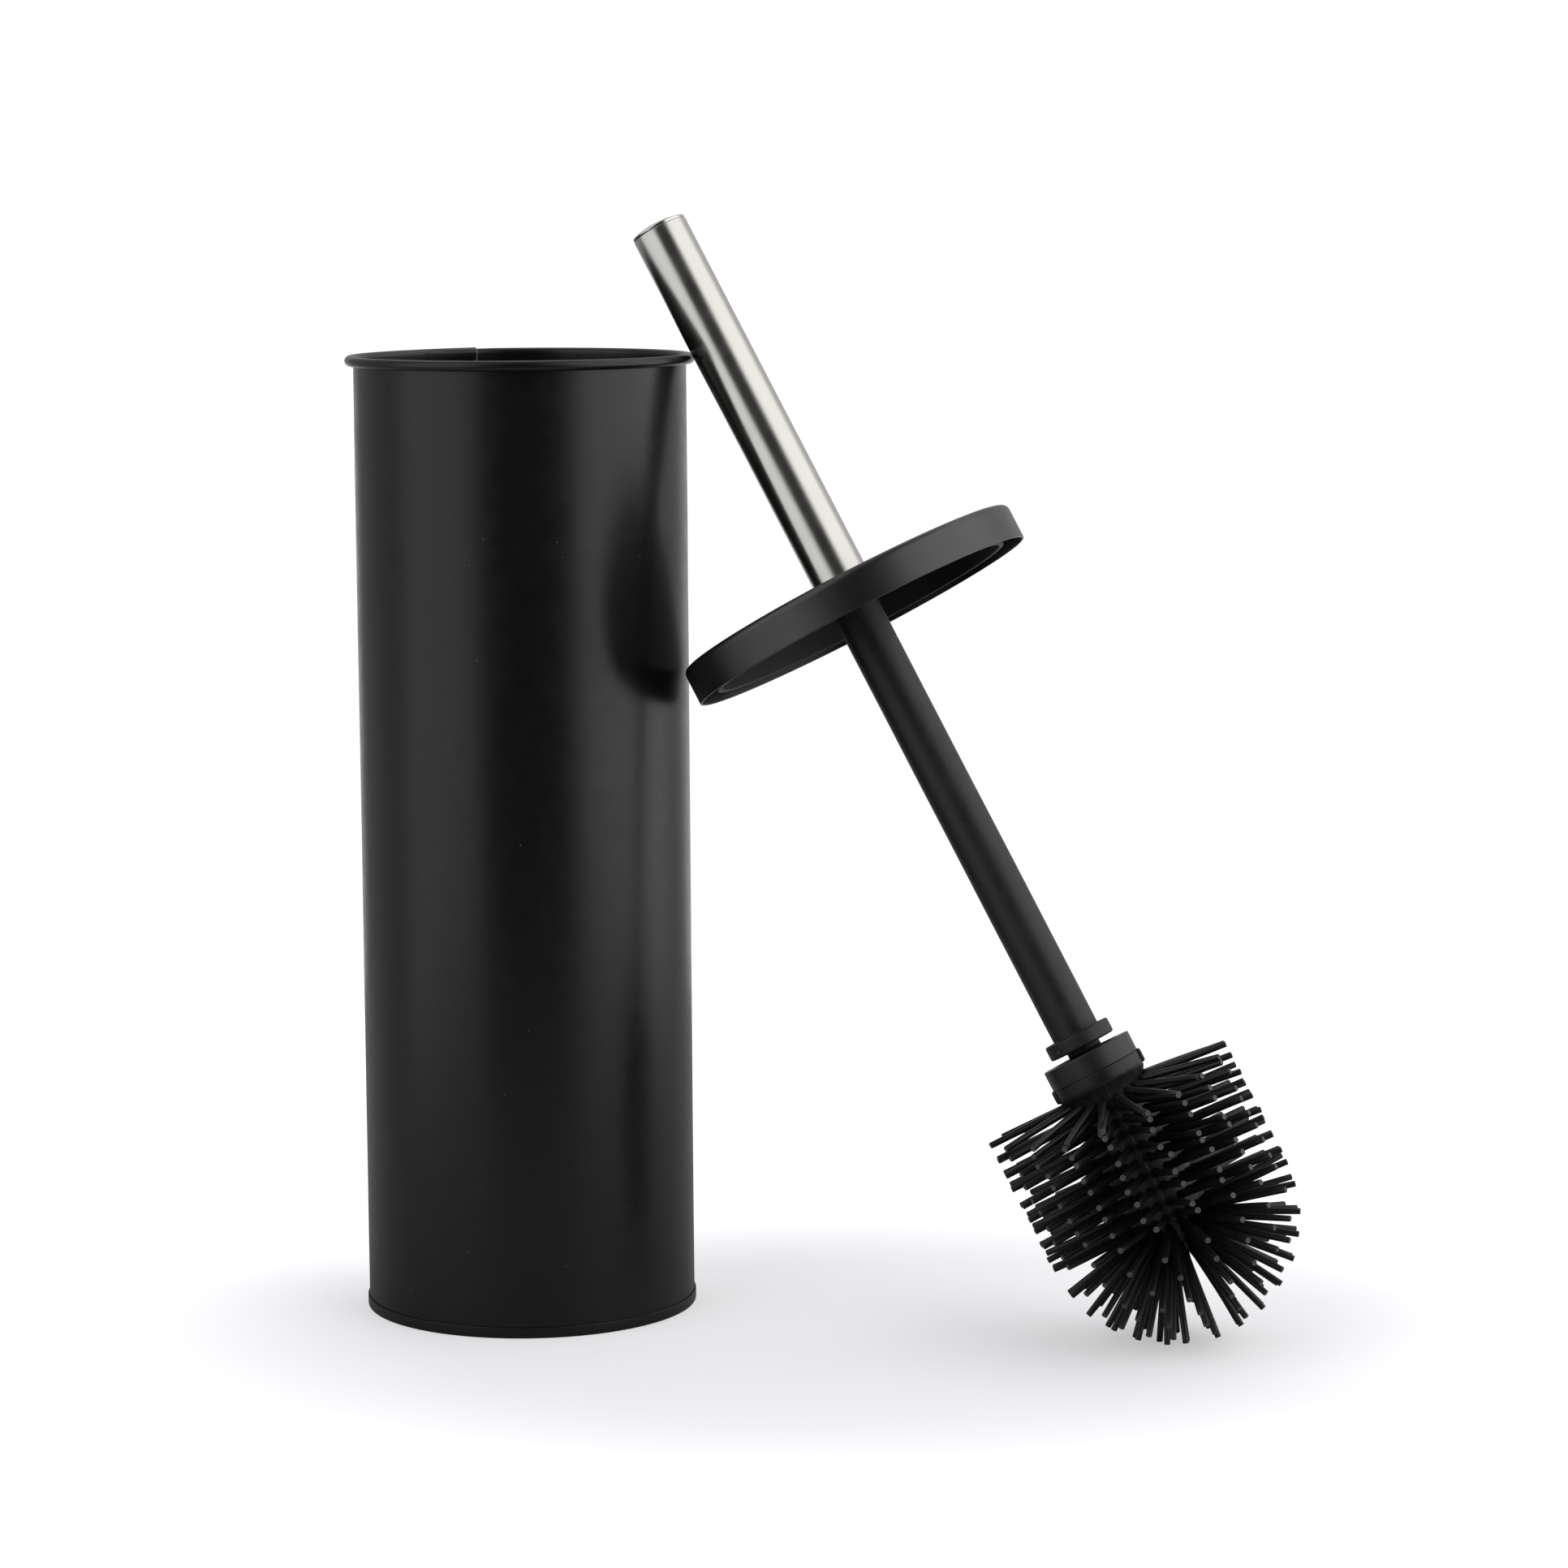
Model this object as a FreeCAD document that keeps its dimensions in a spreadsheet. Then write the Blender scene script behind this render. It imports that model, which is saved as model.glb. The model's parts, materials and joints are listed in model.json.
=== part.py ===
import FreeCAD, Part
import math
import os
import re
import Sketcher

# A free-standing toilet brush set: a sheet-steel holder and the brush, which leans on its rim.
# Frame: the holder's axis is Z, the floor is z = 0, +X is the side that the brush stands on.
# The brush's pieces are drawn upright about their own axis, from the centre of the round
# bristle head upwards, and then stood beside the holder by one shared placement.

# ---------------------------------------------------------------- driving dimensions

SIZES = {
    # holder
    "wall_radius": (47.5, "outside of the holder's wall"),
    "wall_sheet": (0.5, "thickness of the holder's sheet steel"),
    "holder_height": (276.1, "floor to the top of the curled rim"),
    "curl_radius": (1.475, "outside radius of the rim's curl"),
    "curl_end_angle": (260.0, "where the curl stops, anticlockwise from +X in its section"),
    "hem_height": (3.2, "height of the base's lip around the wall"),
    "hem_corner": (0.45, "rounding under the base's lip"),
    "base_recess": (4.0, "how far the base plate stands above the floor"),
    # bristle head
    "head_radius": (36.4, "head's axis to the bristle tips"),
    "bristle_zone": (41.2, "head's centre to the underside of the cuff"),
    "cuff_height": (4.1, "rubber cuff above the bristles"),
    "cuff_radius": (13.1, "outside of the rubber cuff"),
    "ear_reach": (1.2, "how far the cuff's two parting ears stand proud"),
    "ear_width": (3.2, "width of a parting ear"),
    "core_radius": (8.0, "stiff core inside the rubber sleeve"),
    "rubber_wall": (3.2, "thickness of the rubber sleeve between the bristles"),
    "ring_radius": (13.2, "outside of the screw ring on the head"),
    "ring_height": (5.9, "height of the screw ring"),
    "cup_radius": (10.0, "hollow in the screw ring"),
    "cup_depth": (4.4, "depth of that hollow"),
    "socket_end_gap": (3.2, "air in the screw socket under the spigot's end"),
    # bristles
    "column_count": (20, "columns of bristles round the head"),
    "seam_gap": (22.0, "angle between the columns each side of a parting line"),
    "ring_count": (10, "rings of bristles on the straight part"),
    "top_margin": (4.3, "from the cuff down to the top ring of bristles"),
    "dome_pitch": (11.5, "angle between rings of bristles on the round end"),
    "dome_crowding": (1.15, "bristles of a ring on the round end, for its girth"),
    "root_radius": (1.1, "bristle radius at its root"),
    "tip_radius": (0.88, "bristle radius at its tip"),
    "root_embed": (0.7, "how far a bristle's root is sunk in the sleeve"),
    "top_droop": (4.0, "how far the top ring's bristles point below level, in degrees"),
    # stem
    "neck_gap": (1.8, "air between the screw ring and the stem's collar"),
    "collar_radius": (9.75, "outside of the stem's collar"),
    "collar_height": (4.3, "height of the stem's collar"),
    "rod_radius": (6.85, "outside of the stem's rod"),
    "hang_gap": (39.25, "air between the base plate and the head of the stored brush"),
    "spigot_radius": (5.0, "threaded end below the collar"),
    "spigot_length": (20.0, "length of that threaded end"),
    "neck_wall": (1.0, "plastic around the stud in the neck that the lid turns on"),
    "stud_radius": (4.0, "steel stud that screws into the handle"),
    "stud_sunk": (18.0, "length of the stud inside the stem"),
    "stud_proud": (14.0, "length of the stud inside the handle"),
    # lid
    "lid_fit": (0.91, "air between the holder's rim and the lid's skirt, all round"),
    "lid_height": (10.7, "height of the lid's skirt"),
    "lid_sheet": (0.6, "thickness of the lid's sheet steel"),
    "lid_corner": (2.0, "outside rounding between the lid's top and skirt"),
    "liner_sheet": (1.5, "thickness of the plastic liner"),
    "liner_ring_fit": (1.5, "air between the lid's centring ring and the holder's wall"),
    "liner_ring_lift": (1.0, "how far that ring stops short of the skirt's edge"),
    "lid_play": (0.15, "axial play of the lid, below and above"),
    # handle
    "handle_radius": (8.15, "outside of the handle's tube"),
    "handle_sheet": (0.8, "wall of the handle's tube"),
    "handle_length": (115.2, "length of the handle's tube"),
    "cap_depth": (6.0, "end cap's plug inside the tube"),
    "cap_edge": (0.3, "straight edge under the end cap's dome"),
    "cap_dome": (1.3, "height of the end cap's dome"),
    "insert_length": (18.0, "threaded insert in the handle's lower end"),
    # edges
    "edge_round": (0.5, "rounding on the edges of the moulded plastic"),
    "lead_in": (0.6, "bevel on the stud's end and at the mouth of its hole"),
    # fits
    "thread_clearance": (0.06, "radial clearance of every screw and turning fit"),
    # how the brush stands
    "lean_sideways": (26.94, "lean of the brush towards the holder, in degrees"),
    "lean_back": (9.62, "lean of the brush towards +Y, in degrees"),
    "stand_front": (54.6, "how far in front of the holder's axis the head stands"),
    "rim_gap": (0.35, "air between the handle and the rim it leans on"),
    "lid_gap": (0.1, "least sideways air between the leaning brush's lid and the rim"),
    "floor_gap": (0.02, "air under the lowest bristle tip"),
    "head_turn": (0.0, "turn of the brush about its own axis, in degrees"),
}

SAME = 1e-4  # two lengths this close, in millimetres, are the same
RIM_STEPS = 1440  # places round a circle at which its distance is tried

doc = FreeCAD.newDocument("toilet_brush_set")
sheet = doc.addObject("Spreadsheet::Sheet", "Sizes")
for row, (alias, (size, note)) in enumerate(SIZES.items(), start=1):
    sheet.set(f"A{row}", str(size))
    sheet.set(f"B{row}", note)
    sheet.setAlias(f"A{row}", alias)
doc.recompute()


def bound(text):
    """Turn a formula written with bare aliases into one that any object can be bound to."""
    return re.sub(r"[a-z_]+", lambda word: qualified(word.group()), text)


def qualified(word):
    return f"Sizes.{word}" if word in SIZES else word


def number(text):
    """The present value of a formula, in millimetres or degrees."""
    return float(sheet.evalExpression(bound(text)))


# ---------------------------------------------------------------- derived places

wall_inner = "(wall_radius - wall_sheet)"
curl_centre_x = f"({wall_inner} + curl_radius)"
curl_centre_z = "(holder_height - curl_radius)"
rim_radius = f"({wall_inner} + 2 * curl_radius)"
lid_radius = f"({rim_radius} + lid_fit + lid_sheet)"
liner_ring_radius = f"({wall_inner} - liner_ring_fit)"
sleeve_radius = "(core_radius + rubber_wall)"
ring_pitch = "((bristle_zone - top_margin) / (ring_count - 1))"
neck_radius = "(stud_radius + neck_wall)"
cuff_top = "(bristle_zone + cuff_height)"
ring_top = f"({cuff_top} + ring_height)"
cup_floor = f"({ring_top} - cup_depth)"
collar_base = f"({ring_top} + neck_gap)"
collar_top = f"({collar_base} + collar_height)"
spigot_end = f"({collar_base} - spigot_length)"
# with the lid's liner on the rim, the head hangs at hang_gap over the base plate
shoulder = "(holder_height - base_recess - hang_gap - head_radius - lid_play)"
stud_floor = f"({shoulder} - stud_sunk)"
liner_base = f"({shoulder} + lid_play)"
liner_top = f"({liner_base} + liner_sheet)"
lid_top = f"({liner_top} + lid_sheet)"
skirt_base = f"({lid_top} - lid_height)"
handle_base = f"({lid_top} + lid_play)"
handle_top = f"({handle_base} + handle_length)"
tube_bore = "(handle_radius - handle_sheet)"
neck_bore = f"({neck_radius} + thread_clearance)"
socket_radius = "(spigot_radius + thread_clearance)"

# ---------------------------------------------------------------- sketching helpers


def arc_between(start, end, radius, turn, large):
    """A circular edge from start to end: turn is 1 for anticlockwise and -1 for clockwise."""
    chord = end - start
    height = math.sqrt(max(radius**2 - (chord.Length / 2) ** 2, 0.0))
    left = FreeCAD.Vector(-chord.y, chord.x, 0).normalize()
    side = -turn if large else turn
    centre = (start + end) * 0.5 + left * height * side
    first, last = (start, end) if turn > 0 else (end, start)
    angle_a = math.atan2(first.y - centre.y, first.x - centre.x)
    angle_b = math.atan2(last.y - centre.y, last.x - centre.x)
    if angle_b < angle_a:
        angle_b += 2 * math.pi
    circle = Part.Circle(centre, FreeCAD.Vector(0, 0, 1), radius)
    return Part.ArcOfCircle(circle, angle_a, angle_b)


def draw_outline(sketch, outline):
    """Draw a closed outline whose corners and radii are bound to the sheet.

    Each corner is (x, z) after a straight edge, or (x, z, radius, turn, large) after an arc.
    """
    places = [FreeCAD.Vector(number(c[0]), number(c[1]), 0) for c in outline]
    heads = []
    tails = []
    for index, corner in enumerate(outline):
        start = places[index - 1]
        end = places[index]
        if len(corner) == 2:
            edge = sketch.addGeometry(Part.LineSegment(start, end))
            heads.append((edge, 1))
            tails.append((edge, 2))
        else:
            radius, turn, large = corner[2:]
            edge = sketch.addGeometry(arc_between(start, end, number(radius), turn, large))
            heads.append((edge, 1) if turn > 0 else (edge, 2))
            tails.append((edge, 2) if turn > 0 else (edge, 1))
            size = sketch.addConstraint(Sketcher.Constraint("Radius", edge, number(radius)))
            sketch.setExpression(f"Constraints[{size}]", bound(radius))
    for index, corner in enumerate(outline):
        edge, end_point = tails[index]
        next_edge, next_point = heads[(index + 1) % len(outline)]
        sketch.addConstraint(Sketcher.Constraint("Coincident", edge, end_point, next_edge, next_point))
        place = places[index]
        for kind, text, here in zip(("DistanceX", "DistanceY"), corner[:2], (place.x, place.y)):
            size = sketch.addConstraint(Sketcher.Constraint(kind, -1, 1, edge, end_point, here))
            sketch.setExpression(f"Constraints[{size}]", bound(text))


def origin_plane(body, role):
    return [f for f in body.Origin.OriginFeatures if f.Role == role][0]


def turned(label, outline):
    """A body turned about its own Z axis from a closed outline of (x, z) corners."""
    body = doc.addObject("PartDesign::Body", label)
    body.Label = label
    sketch = body.newObject("Sketcher::SketchObject", f"{label}_outline")
    sketch.AttachmentSupport = (origin_plane(body, "XZ_Plane"), "")
    sketch.MapMode = "FlatFace"
    draw_outline(sketch, outline)
    turning = body.newObject("PartDesign::Revolution", f"{label}_turned")
    turning.Profile = sketch
    turning.ReferenceAxis = (sketch, ["V_Axis"])
    turning.Angle = 360
    doc.recompute()
    return body


def circles_at(shape, radius, height):
    """The names of a turned shape's circular edges of this radius at this height."""
    found = []
    for index, edge in enumerate(shape.Edges, start=1):
        if not edge.Degenerated and isinstance(edge.Curve, Part.Circle):
            same_radius = abs(edge.Curve.Radius - radius) < SAME
            same_height = abs(edge.Curve.Center.z - height) < SAME
            if same_radius and same_height:
                found.append(f"Edge{index}")
    return found


def eased(body, kind, size, circles):
    """Round (Fillet) or bevel (Chamfer) the circular edges given as (radius, height) formulas."""
    names = []
    for radius, height in circles:
        names += circles_at(body.Tip.Shape, number(radius), number(height))
    base = body.Tip
    easing = body.newObject(f"PartDesign::{kind}", f"{body.Label}_{kind.lower()}")
    easing.Base = (base, names)
    easing.setExpression("Radius" if kind == "Fillet" else "Size", bound(size))
    body.Tip = easing
    doc.recompute()


# ---------------------------------------------------------------- holder


def make_holder_shell():
    """The round wall, with its top edge curled outwards over most of a turn."""
    cosine = "cos(curl_end_angle * 1deg)"
    sine = "sin(curl_end_angle * 1deg)"
    inside = "(curl_radius - wall_sheet)"
    return turned("holder_shell", [
        (wall_inner, "wall_sheet"),
        ("wall_radius", "wall_sheet"),
        ("wall_radius", curl_centre_z),
        (f"{curl_centre_x} + {inside} * {cosine}", f"{curl_centre_z} + {inside} * {sine}", inside, -1, True),
        (f"{curl_centre_x} + curl_radius * {cosine}", f"{curl_centre_z} + curl_radius * {sine}"),
        (wall_inner, curl_centre_z, "curl_radius", 1, True),
    ])


def make_holder_base():
    """The recessed bottom plate, whose edge folds under the wall and up around it."""
    lip = "(wall_radius + wall_sheet)"
    inner_leg = f"({wall_inner} - wall_sheet)"
    base = turned("holder_base", [
        ("0", "base_recess - wall_sheet"),
        (inner_leg, "base_recess - wall_sheet"),
        (inner_leg, "0"),
        (lip, "0"),
        (lip, "hem_height"),
        ("wall_radius", "hem_height"),
        ("wall_radius", "wall_sheet"),
        (wall_inner, "wall_sheet"),
        (wall_inner, "base_recess"),
        ("0", "base_recess"),
    ])
    eased(base, "Fillet", "hem_corner", [(inner_leg, "0"), (lip, "0")])
    return base


# ---------------------------------------------------------------- handle


def make_handle_tube():
    return turned("handle_tube", [
        (tube_bore, handle_base),
        ("handle_radius", handle_base),
        ("handle_radius", handle_top),
        (tube_bore, handle_top),
    ])


def make_handle_end_cap():
    """A shallow polished dome on a plug that is pressed into the tube's upper end."""
    rim = f"({handle_top} + cap_edge)"
    dome_radius = "((handle_radius * handle_radius + cap_dome * cap_dome) / (2 * cap_dome))"
    return turned("handle_end_cap", [
        ("0", f"{handle_top} - cap_depth"),
        (tube_bore, f"{handle_top} - cap_depth"),
        (tube_bore, handle_top),
        ("handle_radius", handle_top),
        ("handle_radius", rim),
        ("0", f"{rim} + cap_dome", dome_radius, 1, False),
    ])


def make_handle_insert():
    """The plug with the screw hole that the stem's stud turns into."""
    screw_hole = "(stud_radius + thread_clearance)"
    insert = turned("handle_insert", [
        (screw_hole, handle_base),
        (tube_bore, handle_base),
        (tube_bore, f"{handle_base} + insert_length"),
        (screw_hole, f"{handle_base} + insert_length"),
    ])
    eased(insert, "Chamfer", "lead_in", [(screw_hole, handle_base)])
    return insert


# ---------------------------------------------------------------- lid


def make_lid_cover():
    """The pressed steel cap that covers the holder's mouth."""
    skirt_inner = f"({lid_radius} - lid_sheet)"
    cover = turned("lid_cover", [
        (neck_bore, liner_top),
        (skirt_inner, liner_top),
        (skirt_inner, skirt_base),
        (lid_radius, skirt_base),
        (lid_radius, lid_top),
        (neck_bore, lid_top),
    ])
    eased(cover, "Fillet", "lid_corner", [(lid_radius, lid_top)])
    eased(cover, "Fillet", "(lid_corner - lid_sheet)", [(skirt_inner, liner_top)])
    return cover


def make_lid_liner():
    """The plastic plate inside the cap, with the ring that drops into the holder's mouth."""
    ring_inner = f"({liner_ring_radius} - liner_sheet)"
    ring_end = f"({skirt_base} + liner_ring_lift)"
    plate_radius = f"({lid_radius} - lid_corner)"
    liner = turned("lid_liner", [
        (neck_bore, liner_base),
        (ring_inner, liner_base),
        (ring_inner, ring_end),
        (liner_ring_radius, ring_end),
        (liner_ring_radius, liner_base),
        (plate_radius, liner_base),
        (plate_radius, liner_top),
        (neck_bore, liner_top),
    ])
    return liner


# ---------------------------------------------------------------- stem


def make_stem():
    """The plastic rod: threaded spigot, collar, rod, and the neck that the lid turns on."""
    stem = turned("stem", [
        ("0", spigot_end),
        ("spigot_radius", spigot_end),
        ("spigot_radius", collar_base),
        ("collar_radius", collar_base),
        ("collar_radius", collar_top),
        ("rod_radius", collar_top),
        ("rod_radius", shoulder),
        (neck_radius, shoulder),
        (neck_radius, lid_top),
        ("stud_radius", lid_top),
        ("stud_radius", stud_floor),
        ("0", stud_floor),
    ])
    eased(stem, "Fillet", "edge_round", [
        ("collar_radius", collar_base),
        ("collar_radius", collar_top),
        ("spigot_radius", spigot_end),
    ])
    return stem


def make_stem_stud():
    stud_end = f"({handle_base} + stud_proud)"
    stud = turned("stem_stud", [
        ("0", stud_floor),
        ("stud_radius", stud_floor),
        ("stud_radius", stud_end),
        ("0", stud_end),
    ])
    eased(stud, "Chamfer", "lead_in", [("stud_radius", stud_end)])
    return stud


# ---------------------------------------------------------------- bristle head


def make_head_core():
    """The stiff core: a screw ring with its hollow and socket, and a round-ended spine."""
    socket_floor = f"({spigot_end} - socket_end_gap)"
    core = turned("head_core", [
        ("0", "-core_radius"),
        ("core_radius", "0", "core_radius", 1, False),
        ("core_radius", cuff_top),
        ("ring_radius", cuff_top),
        ("ring_radius", ring_top),
        ("cup_radius", ring_top),
        ("cup_radius", cup_floor),
        (socket_radius, cup_floor),
        (socket_radius, socket_floor),
        ("0", socket_floor),
    ])
    eased(core, "Fillet", "edge_round", [("ring_radius", ring_top), ("cup_radius", ring_top)])
    return core


def column_angles():
    """Angles of the bristle columns: four equal groups with a wider gap at each parting line."""
    count = round(number("column_count"))
    per_group = count // 4
    half_gap = number("seam_gap") / 2
    step = (90 - 2 * half_gap) / (per_group - 1)
    return [group * 90 + half_gap + k * step for group in range(4) for k in range(per_group)]


def make_bristle(height, fall, angle):
    """One tapered bristle: it points fall degrees below level, from the axis at this height."""
    turn = math.radians(angle)
    drop = math.radians(fall)
    level = FreeCAD.Vector(math.cos(turn), math.sin(turn), 0)
    direction = level * math.cos(drop) - FreeCAD.Vector(0, 0, math.sin(drop))
    inner = number(f"{sleeve_radius} - root_embed")
    length = number("head_radius") - inner
    root = FreeCAD.Vector(0, 0, height) + direction * inner
    return Part.makeCone(number("root_radius"), number("tip_radius"), length, root, direction)


def make_bristles():
    """Rings of bristles down the straight part, then ever smaller rings round the end."""
    columns = column_angles()
    bristles = []
    ring_count = round(number("ring_count"))
    for ring in range(ring_count):
        height = number(ring_pitch) * (ring_count - 1 - ring)
        fall = number("top_droop") * (1 - ring / (ring_count - 1))
        bristles += [make_bristle(height, fall, angle) for angle in columns]
    # each ring on the dome keeps as many bristles as still fit between their roots
    dome_rings = int(90 / number("dome_pitch"))
    for ring in range(1, dome_rings + 1):
        fall = ring * number("dome_pitch")
        share = math.cos(math.radians(fall))
        filled = min(1.0, share * number("dome_crowding"))
        count = 4 * max(1, round(len(columns) / 4 * filled))
        if count == len(columns):
            angles = columns
        else:
            angles = [(k + 0.5) * 360 / count for k in range(count)]
        bristles += [make_bristle(0, fall, angle) for angle in angles]
    return bristles


def make_bristle_sleeve():
    """The moulded rubber sleeve: wall, cuff with two parting ears, and all its bristles."""
    wall = turned("sleeve_wall", [
        ("0", f"-{sleeve_radius}"),
        (sleeve_radius, "0", sleeve_radius, 1, False),
        (sleeve_radius, "bristle_zone"),
        ("cuff_radius", "bristle_zone"),
        ("cuff_radius", cuff_top),
        ("core_radius", cuff_top),
        ("core_radius", "0"),
        ("0", "-core_radius", "core_radius", -1, False),
    ])
    ears = []
    for side in (-1, 1):
        ear = doc.addObject("Part::Box", "parting_ear")
        ear.setExpression("Length", bound(f"cuff_radius + ear_reach - {sleeve_radius}"))
        ear.setExpression("Width", bound("ear_width"))
        ear.setExpression("Height", bound("cuff_height"))
        start = sleeve_radius if side > 0 else "-(cuff_radius + ear_reach)"
        ear.setExpression("Placement.Base.x", bound(start))
        ear.setExpression("Placement.Base.y", bound("-ear_width / 2"))
        ear.setExpression("Placement.Base.z", bound("bristle_zone"))
        ears.append(ear)
    bristles = doc.addObject("Part::Feature", "bristles")
    bristles.Shape = Part.makeCompound(make_bristles())
    sleeve = doc.addObject("Part::MultiFuse", "bristle_sleeve")
    sleeve.Label = "bristle_sleeve"
    sleeve.Shapes = [wall, *ears, bristles]
    doc.recompute()
    return sleeve


# ---------------------------------------------------------------- how the brush stands


def brush_axis():
    """Unit vector from the head up along the leaning brush."""
    sideways = -math.sin(math.radians(number("lean_sideways")))
    backward = math.sin(math.radians(number("lean_back")))
    return FreeCAD.Vector(sideways, backward, math.sqrt(1 - sideways**2 - backward**2))


def distance_to_rim(foot, axis):
    """Least distance from the brush's axis to the middle of the rim's curl."""
    radius = number(curl_centre_x)
    height = number(curl_centre_z)
    best = math.inf
    for step in range(RIM_STEPS):
        angle = 2 * math.pi * step / RIM_STEPS
        spot = FreeCAD.Vector(radius * math.cos(angle), radius * math.sin(angle), height)
        reach = spot - foot
        best = min(best, (reach - axis * reach.dot(axis)).Length)
    return best


def lid_meets_rim(placement):
    """Whether the lid's skirt, where it is lower than the rim's top, is too near the holder."""
    radius = number(lid_radius)
    clear = number(f"{rim_radius} + lid_gap")
    for height in (number(skirt_base), number(f"{lid_top} - lid_corner")):
        for step in range(RIM_STEPS):
            angle = 2 * math.pi * step / RIM_STEPS
            edge = FreeCAD.Vector(radius * math.cos(angle), radius * math.sin(angle), height)
            spot = placement.multVec(edge)
            if spot.z < number("holder_height") and math.hypot(spot.x, spot.y) < clear:
                return True
    return False


def brush_at(distance):
    """The brush's placement with its head on the floor at this distance along +X."""
    axis = brush_axis()
    foot = FreeCAD.Vector(distance, -number("stand_front"), number("head_radius + floor_gap"))
    lean = FreeCAD.Rotation(FreeCAD.Vector(0, 0, 1), axis)
    turn = FreeCAD.Rotation(FreeCAD.Vector(0, 0, 1), number("head_turn"))
    return FreeCAD.Placement(foot, lean * turn)


def standing_placement():
    """The nearest place where the handle just clears the rim's outside and the lid does too."""
    axis = brush_axis()
    wanted = number("handle_radius + curl_radius + rim_gap")
    rise = number(f"{curl_centre_z} - head_radius - floor_gap")
    # at the near place the handle's axis meets the rim's curl, at the far one it is well clear
    near = number(curl_centre_x) - rise * axis.x / axis.z
    far = near + 2 * number("wall_radius")
    while far - near > SAME:
        middle = (near + far) / 2
        placement = brush_at(middle)
        if distance_to_rim(placement.Base, axis) < wanted or lid_meets_rim(placement):
            near = middle
        else:
            far = middle
    return brush_at(far)


# ---------------------------------------------------------------- assembly and files

holder_pieces = [make_holder_shell(), make_holder_base()]
brush_pieces = [
    make_handle_tube(),
    make_handle_end_cap(),
    make_handle_insert(),
    make_lid_cover(),
    make_lid_liner(),
    make_stem(),
    make_stem_stud(),
    make_head_core(),
    make_bristle_sleeve(),
]

standing = standing_placement()
for piece in brush_pieces:
    piece.Placement = standing
doc.recompute()
print("brush stands at", standing)

for item in doc.Objects:
    if "Invalid" in item.State or "Error" in item.State:
        raise RuntimeError(f"{item.Name} could not be built: {item.State}")

os.makedirs("parts", exist_ok=True)
for piece in holder_pieces + brush_pieces:
    solid = piece.Shape
    if solid.isNull() or not solid.isValid() or not solid.Solids:
        raise RuntimeError(f"{piece.Label} has no valid solid")
    print(f"{piece.Label}: {len(solid.Solids)} solid, {solid.Volume / 1000:.2f} cm3")
    solid.exportStep(f"parts/{piece.Label}.step")
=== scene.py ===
"""A free-standing toilet brush set: a black sheet-steel holder and the brush that leans on its rim.

Every piece is built in one of two local frames, whose Z is the piece's own axis: HOLDER, with its
origin on the floor, and BRUSH, with its origin at the centre of the round bristle head.
"""

import json
import math
import random
from collections import namedtuple

import bmesh
import bpy
import numpy as np
from mathutils import Matrix, Vector, noise


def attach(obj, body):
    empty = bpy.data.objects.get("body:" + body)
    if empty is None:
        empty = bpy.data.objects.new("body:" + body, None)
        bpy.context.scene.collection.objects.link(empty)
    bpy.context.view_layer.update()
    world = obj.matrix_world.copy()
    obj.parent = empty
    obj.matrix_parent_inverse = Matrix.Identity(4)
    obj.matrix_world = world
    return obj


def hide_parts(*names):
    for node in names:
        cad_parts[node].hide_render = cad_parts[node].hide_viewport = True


MM = 0.001
UP = Vector((0, 0, 1))
FINE = 256  # columns of faces round a large turned piece
COARSE = 128  # and round a thin one
CORNER_STEPS = 5  # straight runs in a rounded corner
SUPPORT = 0.12 * MM  # from a rounded corner to the loop that keeps the next face flat
CORNER_SHARE = 0.45  # the most of a straight run that one rounding may take
SUPPORT_SHARE = 0.04  # and that the gap to its loop may take

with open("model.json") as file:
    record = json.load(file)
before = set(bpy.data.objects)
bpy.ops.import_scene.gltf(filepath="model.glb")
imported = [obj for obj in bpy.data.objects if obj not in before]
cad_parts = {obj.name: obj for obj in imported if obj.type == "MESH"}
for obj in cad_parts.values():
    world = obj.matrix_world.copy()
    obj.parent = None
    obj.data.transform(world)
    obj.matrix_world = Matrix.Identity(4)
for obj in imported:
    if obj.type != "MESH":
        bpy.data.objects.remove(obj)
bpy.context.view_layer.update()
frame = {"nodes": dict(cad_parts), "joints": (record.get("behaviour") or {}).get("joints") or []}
joints = {joint["name"]: joint for joint in frame["joints"]}


# ---------------------------------------------------------------- places

HEAD_BELOW_COLLAR = 53.0 * MM  # the head's centre, from the collar that it screws against


def brush_frame():
    """The brush's own frame: Z runs from the head's centre up the handle."""
    joint = joints["head_unscrew"]
    axis = -Vector(joint["axis"]).normalized()
    centre = Vector(joint["pos_m"]) - axis * HEAD_BELOW_COLLAR
    return Matrix.Translation(centre) @ UP.rotation_difference(axis).to_matrix().to_4x4()


HOLDER = Matrix.Identity(4)
BRUSH = brush_frame()


class Reach:
    """How far a CAD node goes along and out from a local frame's Z axis."""

    def __init__(self, node, place):
        to_local = place.inverted()
        points = np.array([to_local @ v.co for v in frame["nodes"][node].data.vertices])
        out = np.hypot(points[:, 0], points[:, 1])
        self.low = float(points[:, 2].min())
        self.high = float(points[:, 2].max())
        self.outer = float(out.max())
        self.inner = float(out.min())


shell = Reach("holder_shell", HOLDER)
base = Reach("holder_base", HOLDER)
tube = Reach("handle_tube", BRUSH)
cap = Reach("handle_end_cap", BRUSH)
cover = Reach("lid_cover", BRUSH)
liner = Reach("lid_liner", BRUSH)
rod = Reach("stem", BRUSH)
core = Reach("head_core", BRUSH)


# ---------------------------------------------------------------- mesh helpers


def smooth_step(x, low, high):
    """0 below low, 1 above high, and a smooth rise between them."""
    t = min(1.0, max(0.0, (x - low) / (high - low)))
    return t * t * (3 - 2 * t)


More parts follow.
